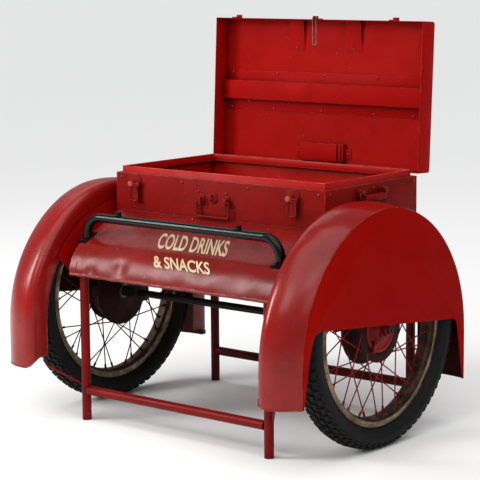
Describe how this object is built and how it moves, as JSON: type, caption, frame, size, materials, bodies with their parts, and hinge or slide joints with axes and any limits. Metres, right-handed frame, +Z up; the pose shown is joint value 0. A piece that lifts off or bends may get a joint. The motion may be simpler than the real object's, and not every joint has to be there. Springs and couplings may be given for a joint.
{
  "type": "vending cart",
  "caption": "Steel trunk with a lift-up lid on a tube frame, carried by two spoked wheels under rounded fenders, with a sloping front panel and a push bar.",
  "frame": {"origin": "on the floor under the middle of the cart's bounding box", "axes": "+Z up; the front faces -Y; the right-hand wheel, seen from the front-right, is at +X"},
  "size_m": [1.019, 0.8194, 1.077],
  "materials": {
    "red_trunk_paint": "worn semi-gloss brushed enamel",
    "red_fender_paint": "scuffed semi-gloss enamel with dents",
    "red_frame_paint": "brushed enamel on tube",
    "red_wheel_paint": "worn brushed enamel",
    "black_paint": "semi-gloss black enamel",
    "tyre_rubber": "matt aged rubber",
    "old_chrome": "aged chrome with rust",
    "bare_steel": "dull oxidised steel"
  },
  "bodies": {
    "cart": {"front_leg_left": "red_frame_paint", "front_leg_right": "red_frame_paint", "rear_leg_left": "red_frame_paint", "rear_leg_right": "red_frame_paint", "front_lower_rail": "red_frame_paint", "rear_lower_rail": "red_frame_paint", "fender_stays": "red_frame_paint", "upper_frame": "black_paint", "axle": "black_paint", "axle_brackets": "black_paint", "axle_spacers": "black_paint", "bumper_bar": "black_paint", "trunk_body": "red_trunk_paint", "trunk_collar": "red_trunk_paint", "trunk_rivets": "red_trunk_paint", "hinge_leaves_trunk": "red_trunk_paint", "latch_plates": "red_trunk_paint", "handle_brackets": "red_trunk_paint", "lock_staple": "red_trunk_paint", "hinge_pins": "bare_steel", "bumper_bolts": "bare_steel", "axle_nuts": "red_wheel_paint", "axle_clips": "red_wheel_paint", "brake_plate_left": "red_wheel_paint", "fender_crown_left": "red_fender_paint", "fender_side_plate_left": "red_fender_paint", "fender_inner_plate_left": "red_fender_paint", "brake_plate_right": "red_wheel_paint", "fender_crown_right": "red_fender_paint", "fender_side_plate_right": "red_fender_paint", "fender_inner_plate_right": "red_fender_paint", "fender_standoffs": "red_fender_paint", "apron_panel": "red_fender_paint", "apron_gussets": "red_fender_paint"},
    "lid": {"lid_shell": "red_trunk_paint", "lid_strap": "red_trunk_paint", "lid_gussets": "red_trunk_paint", "lid_pocket": "red_trunk_paint", "lid_rivets": "red_trunk_paint", "lid_hooks": "red_trunk_paint", "hinge_leaves_lid": "red_trunk_paint", "lid_eye": "red_trunk_paint"},
    "eye_wire": {"lid_wire": "bare_steel"},
    "wheel_left": {"tyre_left": "tyre_rubber", "rim_left": "old_chrome", "spokes_left": "red_wheel_paint", "hub_left": "red_wheel_paint", "hub_bearings_left": "bare_steel"},
    "wheel_right": {"tyre_right": "tyre_rubber", "rim_right": "old_chrome", "spokes_right": "red_wheel_paint", "hub_right": "red_wheel_paint", "hub_bearings_right": "bare_steel"},
    "brake_arm_left": {"brake_lever_left": "red_wheel_paint"},
    "brake_arm_right": {"brake_lever_right": "red_wheel_paint"},
    "front_bail": {"front_handle": "red_trunk_paint"},
    "side_bail_left": {"side_handle_left": "red_trunk_paint"},
    "side_bail_right": {"side_handle_right": "red_trunk_paint"},
    "latch_left": {"latch_lever_left": "red_trunk_paint"},
    "latch_right": {"latch_lever_right": "red_trunk_paint"}
  },
  "joints": [
    {"name": "lid_hinge", "type": "hinge", "parent": "cart", "child": "lid", "pos_m": [0, 0.333, 0.6595], "axis": [1, 0, 0], "range_deg": [0, 93]},
    {"name": "eye_wire_swing", "type": "hinge", "parent": "lid", "child": "eye_wire", "pos_m": [0.001, 0.34897, 1.07323], "axis": [1, 0, 0], "range_deg": [-93, 0]},
    {"name": "wheel_spin_left", "type": "hinge", "parent": "cart", "child": "wheel_left", "pos_m": [-0.46, 0.0035, 0.308], "axis": [1, 0, 0], "continuous": true},
    {"name": "wheel_spin_right", "type": "hinge", "parent": "cart", "child": "wheel_right", "pos_m": [0.46, 0.0035, 0.308], "axis": [1, 0, 0], "continuous": true},
    {"name": "brake_arm_turn_left", "type": "hinge", "parent": "cart", "child": "brake_arm_left", "pos_m": [-0.476, -0.0255, 0.276], "axis": [1, 0, 0], "range_deg": [0, 20], "stiffness_Nm_per_rad": 0.05, "springref_deg": -17.19},
    {"name": "brake_arm_turn_right", "type": "hinge", "parent": "cart", "child": "brake_arm_right", "pos_m": [0.476, -0.0255, 0.276], "axis": [1, 0, 0], "range_deg": [0, 20], "stiffness_Nm_per_rad": 0.05, "springref_deg": -17.19},
    {"name": "front_handle_swing", "type": "hinge", "parent": "cart", "child": "front_bail", "pos_m": [-0.004, -0.0865, 0.604], "axis": [-1, 0, 0], "range_deg": [0, 120]},
    {"name": "side_handle_swing_left", "type": "hinge", "parent": "cart", "child": "side_bail_left", "pos_m": [-0.376, 0.115, 0.639], "axis": [0, 1, 0], "range_deg": [0, 90]},
    {"name": "side_handle_swing_right", "type": "hinge", "parent": "cart", "child": "side_bail_right", "pos_m": [0.376, 0.115, 0.639], "axis": [0, -1, 0], "range_deg": [0, 90]},
    {"name": "latch_swing_left", "type": "hinge", "parent": "cart", "child": "latch_left", "pos_m": [-0.28, -0.0845, 0.63], "axis": [-1, 0, 0], "range_deg": [0, 160]},
    {"name": "latch_swing_right", "type": "hinge", "parent": "cart", "child": "latch_right", "pos_m": [0.268, -0.0845, 0.63], "axis": [-1, 0, 0], "range_deg": [0, 160]}
  ],
  "couplings": [
    {"joint": "eye_wire_swing", "follows": "lid_hinge", "ratio": -1}
  ]
}
